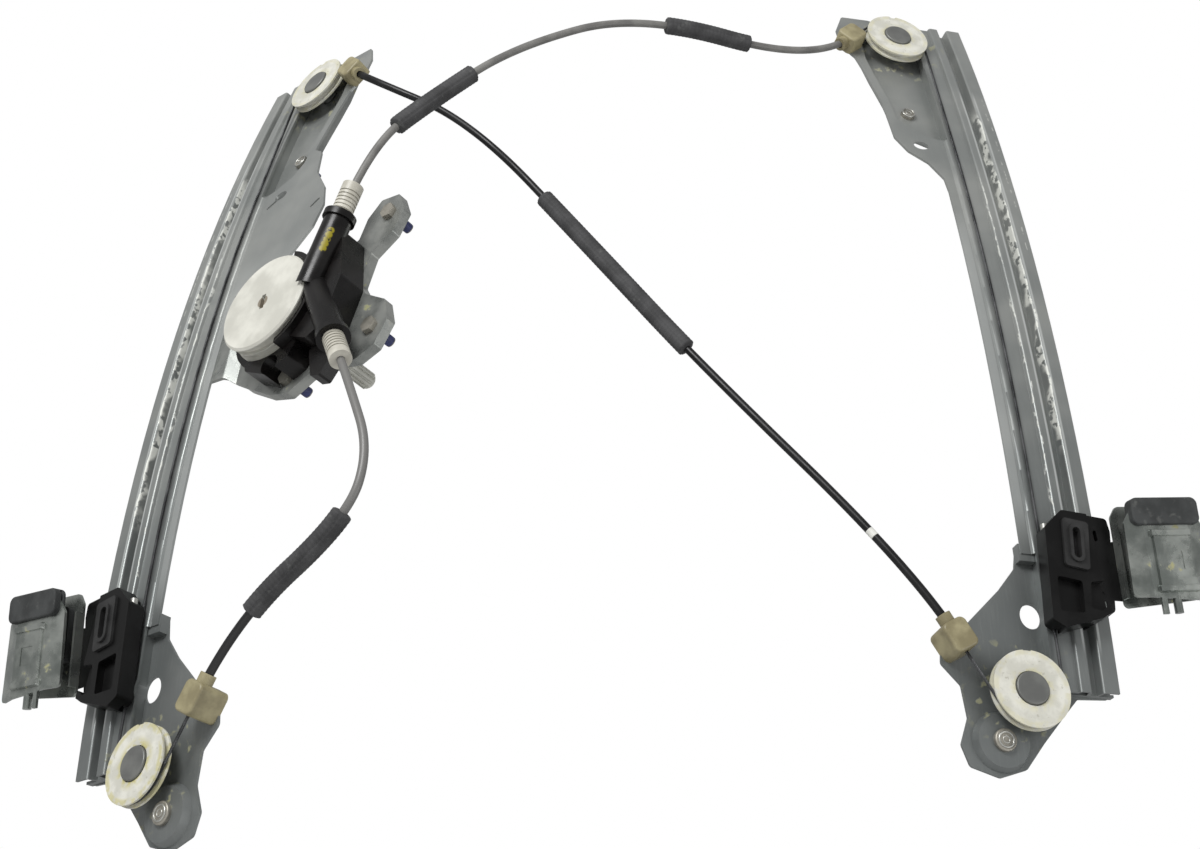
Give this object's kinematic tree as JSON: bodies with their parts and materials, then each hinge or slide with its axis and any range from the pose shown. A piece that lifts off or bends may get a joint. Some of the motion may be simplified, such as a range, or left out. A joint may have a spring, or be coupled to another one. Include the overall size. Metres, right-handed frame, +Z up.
{
  "type": "window regulator",
  "caption": "Dual-rail cable window regulator with curved rails, glass clamps, a cable drum with splined drive shaft and sleeved conduits.",
  "frame": {"origin": "root of the upper motor stud, on the back face of the motor bracket", "axes": "+X from the left rail toward the right rail, +Y from the drum toward the drive side, away from the viewer, +Z up along the left rail"},
  "size_m": [0.5406, 0.3811, 0.63],
  "materials": {
    "coated_steel": "satin",
    "bracket_steel": "satin",
    "wire_rope": "stranded",
    "pin_steel": "satin",
    "pulley_plastic": "satin",
    "clip_plastic": "satin",
    "carrier_plastic": "satin",
    "insert_plastic": "matte",
    "clamp_steel": "zinc plated",
    "pad_rubber": "matte",
    "fastener_steel": "zinc plated",
    "nipple_zinc": "cast",
    "drum_plastic": "satin",
    "shaft_plastic": "satin",
    "housing_plastic": "satin",
    "sleeve_plastic": "satin",
    "spring_steel": "bright",
    "foam": "foam",
    "conduit_grey": "satin",
    "conduit_black": "satin"
  },
  "bodies": {
    "frame": {"bracket_studs": "fastener_steel", "cross_conduit": "conduit_black", "cross_conduit_foam": "foam", "drum_housing": "housing_plastic", "left_lower_clip": "clip_plastic", "left_lower_pulley_pin": "pin_steel", "left_rail": "coated_steel", "left_upper_clip": "clip_plastic", "left_upper_pulley_pin": "pin_steel", "left_wire": "wire_rope", "lower_conduit": "conduit_black", "lower_conduit_foam": "foam", "lower_drum_wire": "wire_rope", "lower_rail_studs": "fastener_steel", "lower_tension_sleeve": "sleeve_plastic", "lower_tension_spring": "spring_steel", "motor_bracket": "bracket_steel", "right_lower_clip": "clip_plastic", "right_lower_pulley_pin": "pin_steel", "right_rail": "coated_steel", "right_upper_clip": "clip_plastic", "right_upper_pulley_pin": "pin_steel", "right_wire": "wire_rope", "upper_conduit": "conduit_grey", "upper_conduit_foam_far": "foam", "upper_conduit_foam_near": "foam", "upper_drum_wire": "wire_rope", "upper_rail_studs": "fastener_steel", "upper_tension_sleeve": "sleeve_plastic", "upper_tension_spring": "spring_steel"},
    "left_glass_carrier": {"left_carrier": "carrier_plastic", "left_clamp_nut": "fastener_steel", "left_clamp_screw": "fastener_steel", "left_front_clamp": "clamp_steel", "left_front_pad": "pad_rubber", "left_insert": "insert_plastic", "left_nipples": "nipple_zinc", "left_rear_clamp": "clamp_steel", "left_rear_pad": "pad_rubber"},
    "left_lower_pulley_body": {"left_lower_pulley": "pulley_plastic"},
    "left_upper_pulley_body": {"left_upper_pulley": "pulley_plastic"},
    "right_glass_carrier": {"right_carrier": "carrier_plastic", "right_clamp_nut": "fastener_steel", "right_clamp_screw": "fastener_steel", "right_front_clamp": "clamp_steel", "right_front_pad": "pad_rubber", "right_insert": "insert_plastic", "right_nipples": "nipple_zinc", "right_rear_clamp": "clamp_steel", "right_rear_pad": "pad_rubber"},
    "right_lower_pulley_body": {"right_lower_pulley": "pulley_plastic"},
    "right_upper_pulley_body": {"right_upper_pulley": "pulley_plastic"},
    "drum": {"cable_drum": "drum_plastic", "drive_shaft": "shaft_plastic"}
  },
  "joints": [
    {"name": "left_carrier_travel", "type": "hinge", "parent": "frame", "child": "left_glass_carrier", "pos_m": [-0.155, 1.4974, -0.084], "axis": [-1, 0, 0], "range_deg": [0, 12.54]},
    {"name": "right_carrier_travel", "type": "hinge", "parent": "frame", "child": "right_glass_carrier", "pos_m": [-0.90594, 1.24143, -0.02153], "axis": [-0.6312, -0.767, -0.1158], "range_deg": [0, 12.54]},
    {"name": "drum_turn", "type": "hinge", "parent": "frame", "child": "drum", "pos_m": [-0.0625, -0.0266, -0.0545], "axis": [0, 1, 0], "range_deg": [0, 637.36]},
    {"name": "left_lower_pulley_turn", "type": "hinge", "parent": "frame", "child": "left_lower_pulley_body", "pos_m": [-0.1102, 0.00242, -0.30886], "axis": [0, -0.9965, -0.0841], "range_deg": [-985.65, 0]},
    {"name": "left_upper_pulley_turn", "type": "hinge", "parent": "frame", "child": "left_upper_pulley_body", "pos_m": [-0.1102, 0.00804, 0.1755], "axis": [0, -0.9942, 0.1072], "range_deg": [-985.65, 0]},
    {"name": "right_lower_pulley_turn", "type": "hinge", "parent": "frame", "child": "right_lower_pulley_body", "pos_m": [0.23744, 0.27363, -0.23029], "axis": [0.7754, -0.6275, -0.0704], "range_deg": [0, 985.65]},
    {"name": "right_upper_pulley_turn", "type": "hinge", "parent": "frame", "child": "right_upper_pulley_body", "pos_m": [0.19249, 0.238, 0.2507], "axis": [0.7577, -0.6416, 0.1196], "range_deg": [0, 985.65]}
  ],
  "couplings": [
    {"joint": "right_carrier_travel", "follows": "left_carrier_travel", "ratio": 1},
    {"joint": "drum_turn", "follows": "left_carrier_travel", "ratio": 50.795},
    {"joint": "left_lower_pulley_turn", "follows": "left_carrier_travel", "ratio": -78.573},
    {"joint": "left_upper_pulley_turn", "follows": "left_carrier_travel", "ratio": -78.573},
    {"joint": "right_lower_pulley_turn", "follows": "left_carrier_travel", "ratio": 78.573},
    {"joint": "right_upper_pulley_turn", "follows": "left_carrier_travel", "ratio": 78.573}
  ]
}
